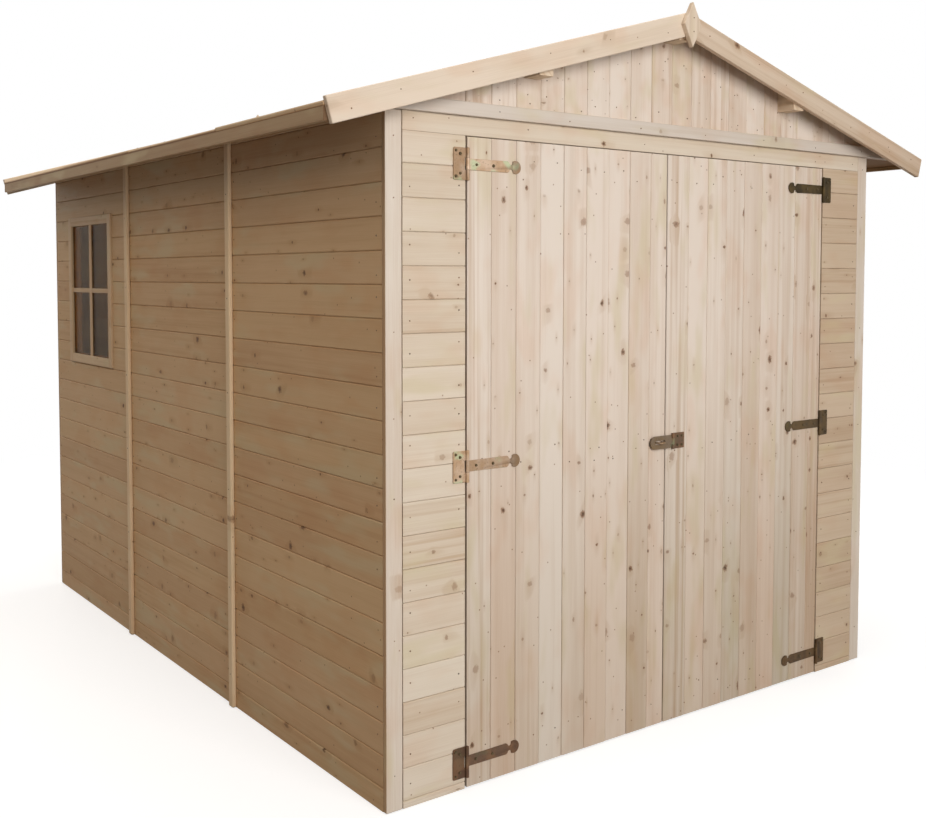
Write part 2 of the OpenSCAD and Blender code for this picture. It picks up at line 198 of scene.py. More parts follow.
def pine_figure():
    """Node group of planed pine: streaks along the grain, knots that bend it, and a tone for each board."""
    tree, given = new_group("pine_figure", "ShaderNodeTree", {
        "Grain": "Vector", "Tone": "Float", "Early wood": "Color", "Late wood": "Color", "Knot wood": "Color",
        "Knot share": "Float", "Streak share": "Float", "Low darkening": "Float",
    }, surface)
    times, plus, minus, scaled, power, fract, less = (partial(calc, tree, kind) for kind in (
        "MULTIPLY", "ADD", "SUBTRACT", "MULTIPLY_ADD", "POWER", "FRACT", "LESS_THAN"))
    noise, step, mix = (partial(maker, tree) for maker in (streak_noise, ramp, blend))
    grain, tone, knots, streaks = (given[key] for key in ("Grain", "Tone", "Knot share", "Streak share"))

    # Knots: one in some of the cells of a mosaic, with the streaks bent round it.
    along, across, depth = make(tree, "ShaderNodeSeparateXYZ", {0: grain})
    mosaic = {"Vector": grain, "Scale": 13.0}
    cells = make(tree, "ShaderNodeTexVoronoi", mosaic, voronoi_dimensions="2D")
    margin = add(tree, "ShaderNodeTexVoronoi", mosaic, voronoi_dimensions="2D", feature="DISTANCE_TO_EDGE")
    lot, girth, age = make(tree, "ShaderNodeSeparateColor", {0: cells["Color"]})
    kept = times(step(margin, 0.02, 0.14), less(lot, times(knots, 0.75)))
    size = scaled(power(girth, 3.0), 0.0100, 0.0023)
    middle = make(tree, "ShaderNodeSeparateXYZ", {0: cells["Position"]})
    from_x = calc(tree, "DIVIDE", minus(along, middle[0]), size)
    from_y = calc(tree, "DIVIDE", minus(across, middle[1]), size)
    slant = scaled(fract(times(girth, 7.9)), 0.8, 0.6)
    wobble = scaled(noise(grain, 160, 160, 160, 1), 1.3, -0.65)
    reach = calc(tree, "SQRT", plus(power(times(from_x, slant), 2), power(from_y, 2)))
    reach = plus(reach, wobble)
    core = times(kept, step(reach, 1.25, 0.75))
    heart = times(kept, step(reach, 0.75, 0.2))
    flow = plus(power(times(from_x, 0.16), 2), power(times(from_y, 0.5), 2))
    halo = times(kept, calc(tree, "EXPONENT", times(flow, -1)))
    bend = times(times(halo, from_y), times(size, -0.7))
    bent = add(tree, "ShaderNodeCombineXYZ", {0: along, 1: plus(across, bend), 2: depth})

    # Late wood: bands, fibres and clouds, more of them on a dark board.
    broad = noise(bent, 0.6, 19, 9, 2)
    bands = noise(bent, 0.8, 58, 20, 3)
    fibre = noise(bent, 7, 620, 300, 2)
    blotch = noise(grain, 2.2, 6, 6, 2)
    drawn = power(fract(times(tone, 13.7)), 2)
    late = times(step(bands, 0.42, 0.72), times(streaks, scaled(drawn, 1.7, 0.25)))
    for cause, weight in ((broad, times(streaks, 2.4)), (fibre, 0.52), (blotch, 0.45), (tone, 0.42)):
        late = scaled(minus(cause, 0.5), weight, late)
    late = add(tree, "ShaderNodeClamp", {0: plus(late, 0.16)})

    # Colour: wood, sapwood and rosy clouds, then knots, small specks, painted shade where the tone is far
    # above one, and a darkening from the last input.
    colour = mix(late, given["Early wood"], given["Late wood"])
    warm = fract(times(tone, 7.31))
    colour = mix(times(warm, 0.10), colour, paint(222, 190, 168))
    sap = step(noise(grain, 3.1, 11, 5, 2), 0.52, 0.72)
    colour = mix(times(sap, 0.46), colour, paint(206, 191, 154))
    rosy = step(noise(grain, 4.3, 9, 5, 2), 0.50, 0.68)
    colour = mix(times(rosy, 0.42), colour, paint(249, 234, 224), "MULTIPLY")
    colour = mix(times(halo, 0.42), colour, given["Late wood"])
    colour = mix(times(core, scaled(age, 0.55, 0.22)), colour, given["Knot wood"])
    dark = times(heart, step(age, 0.35, 0.8))
    colour = mix(times(dark, 0.75), colour, paint(74, 52, 36))
    aside = vector(tree, "ADD", grain, (3.3, 5.9, 0))
    specks = make(tree, "ShaderNodeTexVoronoi", {"Vector": aside, "Scale": 15.0}, voronoi_dimensions="2D")
    speck_lot = add(tree, "ShaderNodeSeparateColor", {0: specks["Color"]})
    small = times(less(speck_lot, times(knots, 0.6)), step(specks["Distance"], 0.042, 0.022))
    colour = mix(times(small, 0.7), colour, given["Knot wood"])
    # Painted shade: a tone far above one makes the wood darker and greyer, for faces that stand in shade.
    colour = mix(step(tone, 3.5, 4.5), colour, paint(192, 186, 180), "MULTIPLY")
    # Darker and greyer by the last input, with a share that differs from board to board.
    low_tint = mix(warm, paint(222, 221, 213), paint(226, 211, 195))
    low_share = scaled(fract(times(tone, 5.3)), 0.55, 0.45)
    colour = mix(times(given["Low darkening"], low_share), colour, low_tint, "MULTIPLY")
    height = scaled(core, 0.25, scaled(bands, 0.5, times(fibre, 0.35)))
    feed(tree, tree.nodes.new("NodeGroupOutput"), {
        "Colour": colour, "Roughness": scaled(fibre, 0.16, 0.56), "Height": height})
    return tree


figure = pine_figure()


def pine(name, early, late, knot, knots, streaks, along=None, across=None, darkening_heights=None):
    """Bare pine. The grain follows the piece's own attribute, or two directions in the object's frame.
    worn gives the heights between which it goes from its own colour to darker and greyer."""
    material, tree, shader = new_material(name)
    if along:
        place = own_place(tree)
        run, width = (vector(tree, "DOT_PRODUCT", place, way, out=1) for way in (along, across))
        grain, tone = add(tree, "ShaderNodeCombineXYZ", {0: run, 1: width, 2: 0.5}), 0.5
    else:
        grain = add(tree, "ShaderNodeAttribute", out=1, attribute_name="grain")
        tone = add(tree, "ShaderNodeAttribute", out=2, attribute_name="tone")
    inputs = {
        "Grain": grain, "Tone": tone, "Early wood": paint(*early), "Late wood": paint(*late),
        "Knot wood": paint(*knot), "Knot share": knots, "Streak share": streaks,
    }
    # Darker and greyer towards the bottom, between the given heights.
    if darkening_heights:
        height = add(tree, "ShaderNodeSeparateXYZ", {0: own_place(tree)}, 2)
        inputs["Low darkening"] = ramp(tree, height, *darkening_heights)
    coated(tree, shader, figure, inputs, shine=0.22, bump=0.35, depth=0.0012)
    return material


def board_rows():
    """Geometry nodes: a profile drawn out to a board, laid side by side, each with its own grain and tone."""
    tree, given = new_group("board_rows", "GeometryNodeTree", {
        "Profile": "Geometry", "Length": "Float", "Cover width": "Float", "Count": "Int",
        "Unevenness": "Float", "Seed": "Int", "Timber": "Material",
    }, {"Boards": "Geometry"})

    def store(geometry, name, value, domain, kind="FLOAT_VECTOR"):
        """Geometry with a named attribute."""
        return add(tree, "GeometryNodeStoreNamedAttribute", {
            "Geometry": geometry, "Name": name, "Value": value}, data_type=kind, domain=domain)

    def recall(name):
        """Vector attribute by its name."""
        return add(tree, "GeometryNodeInputNamedAttribute", {"Name": name}, data_type="FLOAT_VECTOR")

    def random_vector(top):
        """Vector of each board, from nothing to the top one."""
        return add(tree, "FunctionNodeRandomValue", {0: (0, 0, 0), 1: top, 8: given["Seed"]},
                   data_type="FLOAT_VECTOR")

    drawn = add(tree, "GeometryNodeExtrudeMesh", {
        "Mesh": given["Profile"], "Offset": (1, 0, 0), "Offset Scale": given["Length"], "Individual": False,
    }, mode="FACES")
    both = tree.nodes.new("GeometryNodeJoinGeometry")
    tree.links.new(drawn, both.inputs[0])
    tree.links.new(add(tree, "GeometryNodeFlipFaces", {"Mesh": given["Profile"]}), both.inputs[0])
    board = add(tree, "GeometryNodeMergeByDistance", {"Geometry": both.outputs[0], "Distance": 0.00001})
    board = store(board, "grain", add(tree, "GeometryNodeInputPosition"), "POINT")
    step = add(tree, "ShaderNodeCombineXYZ", {1: given["Cover width"]})
    places = add(tree, "GeometryNodeMeshLine", {"Count": given["Count"], "Offset": step})
    laid = add(tree, "GeometryNodeInstanceOnPoints", {"Points": places, "Instance": board})
    dip = add(tree, "ShaderNodeCombineXYZ", {2: calc(tree, "MULTIPLY", given["Unevenness"], -1)})
    laid = add(tree, "GeometryNodeTranslateInstances", {"Instances": laid, "Translation": random_vector(dip)})
    tone = add(tree, "FunctionNodeRandomValue", {2: 0.0, 3: 1.0, 8: given["Seed"]}, 1, data_type="FLOAT")
    laid = store(laid, "tone", tone, "INSTANCE", "FLOAT")
    laid = store(laid, "log", random_vector((60, 30, 5)), "INSTANCE")
    laid = add(tree, "GeometryNodeRealizeInstances", {"Geometry": laid})
    moved = vector(tree, "ADD", recall("grain"), recall("log"))
    laid = store(laid, "grain", moved, "POINT")
    laid = add(tree, "GeometryNodeSetMaterial", {"Geometry": laid, "Material": given["Timber"]})
    tree.links.new(laid, tree.nodes.new("NodeGroupOutput").inputs[0])
    return tree


laying = board_rows()


def grown(tree, start, values):
    """Plain mesh that a tree of geometry nodes makes from a starting mesh and its named inputs."""
    holder = placed(tree.name, start)
    maker = holder.modifiers.new(tree.name, "NODES")
    maker.node_group = tree
    for socket in tree.interface.items_tree:
        if socket.in_out == "INPUT" and socket.name in values:
            maker[socket.identifier] = values[socket.name]
    graph = bpy.context.evaluated_depsgraph_get()
    mesh = bpy.data.meshes.new_from_object(
        holder.evaluated_get(graph), preserve_all_data_layers=True, depsgraph=graph)
    holder.modifiers.remove(maker)
    bpy.data.objects.remove(holder)
    bpy.data.meshes.remove(start)
    return mesh


def tongue_profile(cover, thick=board_thick, bevel=board_bevel):
    """Section of a tongued and grooved board, across and outwards."""
    ease, slack, groove = 0.0005, 0.0003, 0.0045
    front, back, tongue = 0.35 * thick, 0.65 * thick, cover + tongue_length
    return [
        (ease, -bevel), (ease, slack - front), (groove, slack - front), (groove, -back - slack),
        (ease, -back - slack), (ease, -thick), (cover - ease, -thick), (cover - ease, -back),
        (tongue, -back), (tongue, -front), (cover - ease, -front), (cover - ease, -bevel),
        (cover - ease - bevel, 0), (ease + bevel, 0),
    ]


def blank():
    """Empty mesh under construction, with a place for the grain and the tone."""
    bm = bmesh.new()
    bm.verts.layers.float_vector.new("grain")
    bm.verts.layers.float.new("tone")
    return bm


def lay_boards(bm, profile, length, cover, count, corner, along, across, seed, timber, fit, uneven=0.0006):
    """Adds a row of boards from its first corner. fit moves the points that would go past the row's edges."""
    start = bpy.data.meshes.new("profile")
    start.from_pydata([(0, y, z) for y, z in profile], [], [range(len(profile))])
    mesh = grown(laying, start, {
        "Length": float(length), "Cover width": float(cover), "Count": int(count),
        "Unevenness": float(uneven), "Seed": int(seed), "Timber": timber,
    })
    along, across = Vector(along), Vector(across)
    outward = along.cross(across)
    grain, tone = bm.verts.layers.float_vector["grain"], bm.verts.layers.float["tone"]
    points = []
    for vertex, run, shade in zip(mesh.vertices, mesh.attributes["grain"].data, mesh.attributes["tone"].data):
        place = Vector(corner) + along * vertex.co.x + across * vertex.co.y + outward * vertex.co.z
        point = bm.verts.new(fit(place))
        point[grain] = run.vector
        point[tone] = shade.value
        points.append(point)
    for face in mesh.polygons:
        bm.faces.new([points[i] for i in face.vertices])
    bpy.data.meshes.remove(mesh)


def keep(bm, node, material, body="shed"):
    """Turns the mesh under construction into a piece that rides on a body and stands for a solid."""
    bmesh.ops.remove_doubles(bm, verts=bm.verts, dist=0.00002)
    bmesh.ops.dissolve_degenerate(bm, edges=bm.edges, dist=0.00001)
    mesh = bpy.data.meshes.new(node)
    bm.to_mesh(mesh)
    bm.free()
    mesh.materials.append(material)
    piece = placed(node, mesh)
    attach(piece, body)
    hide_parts(node)
    return piece


wall_profile = tongue_profile(wall_cover, bevel=wall_bevel)
wall_pine = pine("wall_pine", (210, 176, 134), (174, 130, 87), (112, 73, 42), 0.38, 0.17)

for side, name in ((-1, "left"), (1, "right")):
    for part, seed in (("front", 1), ("middle", 2), ("rear", 3)):
        node = f"{name}_wall_{part}_panel"
        low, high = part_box(node)
        face_x = side * half_width
        rows = [(low.y, high.y, 0, wall_rows)]
        if node == "left_wall_rear_panel":
            sill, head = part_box("window_frame")
            rows = [
                (low.y, high.y, 0, 12), (low.y, sill.y - window_gap, 12, 7),
                (head.y + window_gap, high.y, 12, 7), (low.y, high.y, 19, 3),
            ]
        panel = blank()
        for order, (start, stop, first, count) in enumerate(rows):
            start += panel_gap
            stop -= panel_gap
            corner = (face_x, stop if side < 0 else start, wall_foot + first * wall_cover)
            top = corner[2] + count * wall_cover

            def to_panel(place):
                place.z = max(min(place.z, top + tongue_length, roof_under(place.x) - gap_to_roof), 0)
                if order in (1, 2):
                    place.z = min(place.z, wall_line)
                return place

            lay_boards(panel, wall_profile, stop - start, wall_cover, count, corner, (0, side, 0), (0, 0, 1),
                       10 * seed + order + (50 if side > 0 else 0), wall_pine, to_panel)
        for row in range(-1, wall_rows):
            z = wall_line - 18.5 * wall_cover + row * wall_cover
            if 0.02 < z < 1.80:
                for y in (low.y + 0.026, high.y - 0.026):
                    if chance.random() < 0.7:
                        nail(face_x, y, z + sway(0.02), (side, 0, 0))
        keep(panel, node, wall_pine)


# Back wall. Two plain panels of the same boards as the side walls, side by side, with the joint between
# them under a strip.
back_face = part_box("back_wall_left_panel")[1].y
for node, seed in (("back_wall_left_panel", 71), ("back_wall_right_panel", 72)):
    low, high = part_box(node)

    def to_wall(place):
        place.z = max(min(place.z, high.z), 0)
        return place

    panel = blank()
    lay_boards(panel, wall_profile, high.x - low.x - 2 * panel_gap, wall_cover, wall_rows,
               (high.x - panel_gap, back_face, wall_foot), (-1, 0, 0), (0, 0, 1), seed, wall_pine, to_wall)
    for row in range(21):
        for x in (low.x + 0.03, high.x - 0.03):
            if abs(x) < 0.96:
                nail(x, back_face, 0.03 + row * wall_cover + sway(0.01), (0, 1, 0))
    keep(panel, node, wall_pine)


# Front wall. A narrow fixed section of the same boards on each side of the doors, and one planed board over
# the doorway that hides the frame's head and comes a little lower than the sections' tops.
front_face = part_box("door_header")[0].y
section_cover = 0.0868
section_line = 1.668
door_gap = 0.0015
header_drop = 0.0025
left_section_pine = pine("left_section_pine", (223, 209, 190), (194, 168, 139), (136, 96, 66), 0.34, 0.30)
right_section_pine = pine("right_section_pine", (205, 183, 157), (177, 147, 118), (126, 86, 58), 0.30, 0.32)
for node, seed, section_pine in (
    ("front_wall_left_section", 81, left_section_pine), ("front_wall_right_section", 82, right_section_pine),
):
    low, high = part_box(node)

    def to_section(place):
        place.z = max(min(place.z, high.z - header_drop - 0.0006), 0)
        return place

    panel = blank()
    start = low.x + (door_gap if low.x > 0 else 0)
    lay_boards(panel, tongue_profile(section_cover), high.x - low.x - door_gap, section_cover, 21,
               (start, front_face, section_line - 20 * section_cover), (1, 0, 0), (0, 0, 1), seed,
               section_pine, to_section, 0.001)
    for row in range(20):
        z = section_line - (row + 0.5) * section_cover
        if z > 0.01:
            for x in (low.x + 0.022, high.x - 0.022):
                if chance.random() < 0.75:
                    nail(x, front_face, z + sway(0.02), (0, -1, 0))
    keep(panel, node, section_pine)


def plank(bm, outline, axis, start, stop, run, bevel=0.0015, tone=None, steps=1):
    """Adds a piece of timber: an outline drawn out along an axis, its edges eased, its grain along run."""
    solid = bmesh.new()
    ends = []
    for s in (start, stop):
        ends.append([solid.verts.new([(s, u, v), (u, s, v), (u, v, s)][axis]) for u, v in outline])
        solid.faces.new(ends[-1])
    count = len(outline)
    for i in range(count):
        j = (i + 1) % count
        solid.faces.new((ends[0][i], ends[0][j], ends[1][j], ends[1][i]))
    bmesh.ops.recalc_face_normals(solid, faces=solid.faces)
    bmesh.ops.bevel(solid, geom=solid.edges[:], offset=bevel, segments=steps, profile=0.5, affect="EDGES",
                    clamp_overlap=True)
    run = Vector(run).normalized()
    side = Vector((1, 0, 0)) if abs(run.z) > 0.7 else Vector((0, 0, 1))
    side = (side - run * side.dot(run)).normalized()
    deep = run.cross(side)
    shift = Vector((chance.uniform(0, 60), chance.uniform(0, 30), chance.uniform(0, 5)))
    shade = chance.random() if tone is None else tone
    grain, tones = bm.verts.layers.float_vector["grain"], bm.verts.layers.float["tone"]
    points = {}
    for vertex in solid.verts:
        point = bm.verts.new(vertex.co)
        point[grain] = Vector((vertex.co.dot(run), vertex.co.dot(side), vertex.co.dot(deep))) + shift
        point[tones] = shade
        points[vertex] = point
    for face in solid.faces:
        bm.faces.new([points[v] for v in face.verts])
    solid.free()


def rectangle(low, high):
    """Corners of a rectangle."""
    return [(low[0], low[1]), (high[0], low[1]), (high[0], high[1]), (low[0], high[1])]


low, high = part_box("door_header")
header = blank()
plank(header, rectangle((low.x, low.z - header_drop), (high.x, high.z - 0.0002)), 1, low.y, high.y, (1, 0, 0),
      0.0012, 0.55)
for x in (-0.93, -0.55, -0.1, 0.4, 0.72, 0.93):
    nail(x, front_face, 1.776 + sway(0.008), (0, -1, 0))
keep(header, "door_header", left_section_pine)


# Wall frames. Sawn studs and rails behind the boards of every panel, halved and nailed together, bare and
# a little rougher and yellower than the planed boards.
def dress(node, material):
    """Gives its material to a solid that is shown as it is."""
    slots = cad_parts[node].data.materials
    slots.clear()
    slots.append(material)


frame_tones = ((204, 176, 140), (168, 132, 94), (120, 80, 50))
stud_pine = pine("stud_pine", *frame_tones, 0.22, 0.6, (0, 0, 1), (1, 1, 0))
rail_pine = pine("rail_pine", *frame_tones, 0.22, 0.6, (1, 1, 0), (0, 0, 1))
dress("wall_studs", stud_pine)
dress("bottom_rails", rail_pine)
dress("top_rails", rail_pine)


# Gables. Upright boards like those of the doors fill the triangles over the front and back walls. They are
# sawn to the slope along the top.
gable_cover = 0.0866
gable_start = -0.763 - 5 * gable_cover
gable_count = 28
door_tones = ((228, 214, 200), (198, 173, 149), (134, 92, 62))
gable_pine = pine("gable_pine", *door_tones, 0.40, 0.48)


def subdivided(profile):
    """Board section with more points across its face and back, for tops that are sawn at a slant."""
    points = []
    for (y0, z0), (y1, z1) in zip(profile, profile[1:] + profile[:1]):
        points.append((y0, z0))
        if abs(y1 - y0) > 0.05:
            points += [(y0 + (y1 - y0) * i / 6, z0 + (z1 - z0) * i / 6) for i in range(1, 6)]
    return points


def both_ends(name):
    """For the front and the back: the solid, the way out, the corners of its box and its outer face."""
    for end, outward in (("front", -1), ("back", 1)):
        low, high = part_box(f"{end}_{name}")
        yield f"{end}_{name}", outward, low, high, low.y if outward < 0 else high.y


for node, outward, low, high, face_y in both_ends("gable"):
    seed = 91 if outward < 0 else 92
    foot = low.z + 0.0003
    reach = (under_ridge - gap_to_roof - foot) / roof_fall

    def to_gable(place):
        place.x = max(min(place.x, reach), -reach)
        place.z = foot if place.z < 2 else max(roof_under(place.x) - gap_to_roof, foot)
        return place

    gable = blank()
    start_x = gable_start if outward < 0 else -gable_start
    lay_boards(gable, subdivided(tongue_profile(gable_cover)), 0.5, gable_cover, gable_count,
               (start_x, face_y, 2.2), (0, 0, -1), (-outward, 0, 0), seed, gable_pine, to_gable)
    for i in range(gable_count):
        x = gable_start + (i + 0.5) * gable_cover
        top = roof_under(x)
        if top > 1.95:
            for z in (top - 0.09, 1.862):
                if chance.random() < 0.7:
                    nail(x + sway(0.025), face_y, z + sway(0.015), (0, outward, 0))
    keep(gable, node, gable_pine)


# Roof timbers. A beam under the ridge and a purlin halfway down each slope run from gable to gable and stick
# out under the barge boards. They are sawn, and their tops are planed to the slope.
beam_pine = pine(
    "beam_pine", (222, 203, 178), (194, 164, 130), (138, 96, 66), 0.2, 0.4, (0, 1, 0), (1, 0, 1))
dress("ridge_beam", beam_pine)
dress("purlins", beam_pine)


# Roof boards. Four panels of thin tongued boards on each slope, laid along the ridge and nailed to the
# purlins and the ridge beam. The panels butt with narrow gaps, don't lie quite level with each other, and
# have their lower edges planed to a bevel. Their undersides are painted dark, as painted shade.
roof_pine = pine("roof_pine", (220, 194, 158), (184, 146, 104), (130, 86, 54), 0.24, 0.55)
roof_ends = (-1.391, -0.791, -0.115, 0.561, 1.391)
roof_drops = (0.0, 0.0030, 0.0008, 0.0022)
roof_thick = 0.0119
roof_joint = 0.0015
ridge_joint = 0.001
slope_length = 1.2295 / math.cos(roof_pitch)
roof_count = 14
roof_cover = slope_length / roof_count
# A tone far above one, which the pine turns into painted shade.
painted_shade_tone = 5.0
for side, name in ((-1, "left"), (1, "right")):
    node = f"{name}_roof_panels"
    ridge_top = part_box(node)[1].z
    up = Vector((-side * math.cos(roof_pitch), 0, math.sin(roof_pitch)))
    out = Vector((side * math.sin(roof_pitch), 0, math.cos(roof_pitch)))
    roof = blank()
    for i, drop in enumerate(roof_drops):
        start = roof_ends[i] + (roof_joint if i else 0)
        stop = roof_ends[i + 1] - (roof_joint if i < 3 else 0)
        eave = Vector((side * ridge_joint, 0, ridge_top)) - up * slope_length - out * drop
        eave.y = stop if side < 0 else start

        def to_slope(place):
            place.x = side * max(side * place.x, ridge_joint)
            up_slope, rise = (place - eave).dot(up), (place - eave).dot(out)
            if up_slope < 0.006:
                place += up * (0.0005 + max(rise + 0.003, 0) * 0.9 - up_slope)
            return place

        lay_boards(roof, tongue_profile(roof_cover, roof_thick - drop), stop - start, roof_cover, roof_count,
                   eave, (0, side, 0), up, 100 + 10 * i + (side > 0), roof_pine, to_slope, 0.0004)
        for board in range(roof_count):
            for y in (start + 0.018, stop - 0.018):
                place = eave + up * ((board + 0.5 + sway(0.15)) * slope_length / roof_count)
                nail(place.x, y, place.z, tuple(out))
    # Painted shade: the boards' undersides get the tone that paints them dark.
    for vertex in roof.verts:
        if (vertex.co - eave).dot(out) < -0.006:
            vertex[roof.verts.layers.float["tone"]] += painted_shade_tone
    keep(roof, node, roof_pine)


# Eave fascias. A planed board under the edge of the left slope and a lath under that of the right one stiffen
# the roof boards; their tops are planed to the slope. Their pine is darker than the rest and their sawn ends
# darker still, both as painted shade.
def ring(bm, normal, distance):
    """Adds points where a plane crosses the mesh under construction."""
    bmesh.ops.bisect_plane(bm, geom=bm.verts[:] + bm.edges[:] + bm.faces[:],
                           plane_co=Vector(normal) * distance, plane_no=normal)


def mark(bm, where, **values):
    """Sets attributes of the points whose places pass a test."""
    for vertex in bm.verts:
        if where(vertex.co):
            for layer, value in values.items():
                vertex[bm.verts.layers.float[layer]] = value


# Painted shade: the fascias' pine is darker than the other pine.
fascia_pine = pine("fascia_pine", (176, 150, 116), (144, 112, 78), (108, 74, 48), 0.2, 0.3)
fascia_thick = 0.016
lath_height = 0.008
low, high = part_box("eave_fascias")
fascias = blank()
for side, foot in ((-1, low.z), (1, roof_under(high.x) - lath_height)):
    outer, inner = side * high.x, side * (high.x - fascia_thick)
    plank(fascias, [
        (outer, foot), (inner, foot), (inner, roof_under(inner) - gap_to_roof),
        (outer, roof_under(outer) - gap_to_roof),
    ], 1, low.y, high.y, (0, 1, 0), 0.0005)
# Painted shade on the ends, in a narrow band that these cuts bound.
for y in (low.y + 0.002, high.y - 0.002):
    ring(fascias, (0, 1, 0), y)
mark(fascias, lambda place: not low.y + 0.0015 < place.y < high.y - 0.0015, tone=painted_shade_tone)
keep(fascias, "eave_fascias", fascia_pine)


# Barge boards. A pair of planed boards on the ends of each gable covers the ends of the roof boards and the
# purlins. They are mitred at the ridge and cut square at the eaves, and nailed to the purlins.
barge_pine = pine("barge_pine", (224, 207, 187), (180, 154, 125), (138, 98, 68), 0.24, 0.30)
barge_width = 0.067
barge_reach = 1.23
barge_depth = barge_width / math.cos(roof_pitch)
barge_end = barge_reach - barge_width * math.sin(roof_pitch)
mitre_gap = 0.001
for node, outward, low, high, face_y in both_ends("barge_boards"):
    top = high.z + mitre_gap * roof_fall
    barges = blank()
    for side in (-1, 1):
        run = (math.cos(roof_pitch), 0, -side * math.sin(roof_pitch))
        corners = ((mitre_gap, barge_depth), (mitre_gap, 0), (barge_reach, 0), (barge_end, barge_depth))
        plank(barges, [(side * x, top - drop - x * roof_fall) for x, drop in corners], 1, low.y, high.y, run,
              0.0018, 0.72 + 0.5 * side)
        for x in (0.09, 0.32, 0.54, 0.80, 1.02, 1.16):
            nail(side * x, face_y, top - x * roof_fall - barge_depth / 2 + sway(0.012), (0, outward, 0))
    keep(barges, node, barge_pine)


# Finials. A small diamond of planed board nailed over the mitre of each pair of barge boards, with its tip
# standing above the ridge.
for node, outward, low, high, face_y in both_ends("finial"):
    middle = (low.z + high.z) / 2
    finial = blank()
    plank(finial, [(0, high.z), (low.x, middle), (0, low.z), (high.x, middle)], 1, low.y, high.y, (0, 0, 1),
          0.0022, 0.5, 2)
    for z in (middle + 0.02, middle - 0.02):
        nail(0.002, face_y, z, (0, outward, 0))
    keep(finial, node, barge_pine)


# Friezes. A smooth planed board along the foot of each gable covers the joint between the gable and the wall;
# its ends run out under the eaves.
frieze_pine = pine("frieze_pine", (213, 202, 190), (192, 174, 152), (150, 114, 86), 0.16, 0.24)
for node, outward, low, high, face_y in both_ends("frieze"):
    head_x = high.x - (high.z - low.z) / roof_fall
    frieze = blank()
    plank(frieze, [(-high.x, low.z), (high.x, low.z), (head_x, high.z), (-head_x, high.z)], 1, low.y, high.y,
          (1, 0, 0), 0.0015, 0.35)
    for x in (-0.95, -0.66, -0.41, -0.13, 0.15, 0.43, 0.70, 0.96):
        nail(x, face_y, low.z + 0.016 + sway(0.005), (0, outward, 0))
    keep(frieze, node, frieze_pine)


# Corner trims and cover strips. Planed laths with rounded edges, nailed over the corners at the front and
# back and over the joints between the wall panels. The trims' outer side faces are painted darker, as painted
# shade.
trim_pine = pine("trim_pine", (224, 213, 199), (174, 138, 100), (150, 110, 80), 0.14, 0.12)
strip_pine = pine("strip_pine", (234, 208, 172), (210, 176, 136), (150, 104, 68), 0.10, 0.26)
trim_width = 0.05
strip_half = 0.015
strip_thick = 0.014
head_gap = 0.0004
for node, outward, low, high, face_y in both_ends("corner_trims"):
    trims = blank()
    for side in (-1, 1):
        start, stop = sorted((side * high.x, side * (high.x - trim_width)))
        plank(trims, rectangle((start, low.y), (stop, high.y)), 2, low.z, high.z - head_gap, (0, 0, 1),
              0.003, 0.4, 2)
        for z in (0.11, 0.46, 0.83, 1.21, 1.56, 1.74):
            nail(side * (high.x - trim_width / 2), face_y, z + sway(0.03), (0, outward, 0))
    # Painted shade: the outer side faces get a tone that turns them to dark late wood.
    mark(trims, lambda place: abs(place.x) > high.x - 0.0008, tone=3.0)
    keep(trims, node, trim_pine)

strips = blank()
for side in (-1, 1):
    for y in (-0.427, 0.473):
        inner, outer = side * half_width, side * (half_width + strip_thick)
        plank(strips, [
            (inner, 0), (inner, roof_under(inner) - gap_to_roof),
            (outer, roof_under(outer) - gap_to_roof), (outer, 0),
        ], 1, y - strip_half, y + strip_half, (0, 0, 1), 0.004, 0.45, 2)
        for z in (0.09, 0.38, 0.71, 1.02, 1.33, 1.62):
            nail(outer, y, z + sway(0.02), (side, 0, 0))
keep(strips, "side_cover_strips", strip_pine)

low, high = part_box("back_cover_strip")
strip = blank()
plank(strip, rectangle((low.x, low.y), (high.x, high.y)), 2, low.z, high.z - head_gap, (0, 0, 1),
      0.004, 0.45, 2)
for z in (0.12, 0.45, 0.8, 1.15, 1.5, 1.73):
    nail(0, high.y, z, (0, 1, 0))
keep(strip, "back_cover_strip", strip_pine)


# Window. A fixed frame of four planed members let into the rear panel, with two thin bars, the upright one
# wider, that cross in front of one sheet of glass, so that it reads as four panes. Behind the glass the
# members are painted dark, as painted shade, and the glass is dusty.
window_pine = pine("window_pine", (228, 205, 172), (184, 148, 108), (144, 98, 66), 0.10, 0.3)
low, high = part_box("window_frame")
member = 0.036
tenon = 0.002
bar = 0.009
window = blank()
for start, stop in ((low.y, low.y + member), (high.y - member, high.y)):
    plank(window, rectangle((low.x, start), (high.x, stop)), 2, low.z, high.z, (0, 0, 1), 0.002, 1.0)
across = (low.y + member - tenon, high.y - member + tenon, (0, 1, 0))
for start, stop in ((low.z, low.z + member), (high.z - member, high.z)):
    plank(window, rectangle((low.x + 0.0006, start), (high.x - 0.0006, stop)), 1, *across, 0.002, 1.0)
middle_y, middle_z = (low.y + high.y) / 2, (low.z + high.z) / 2
bar_front, bar_back = low.x + 0.0052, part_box("window_glass")[0].x - 0.0002
plank(window, rectangle((bar_front, middle_y - 2 * bar), (bar_back, middle_y + bar)), 2,
      low.z + member - tenon, high.z - member + tenon, (0, 0, 1), 0.0015, 1.5)
plank(window, rectangle((bar_front + 0.0004, middle_z - bar), (bar_back, middle_z + bar)), 1, *across,
      0.0015, 1.5)
# Painted shade behind the glass, in the part that these cuts bound.
for x in (bar_back, bar_back + 0.0006):
    ring(window, (1, 0, 0), x)
mark(window, lambda place: place.x > bar_back + 0.0003, tone=painted_shade_tone)
keep(window, "window_frame", window_pine)

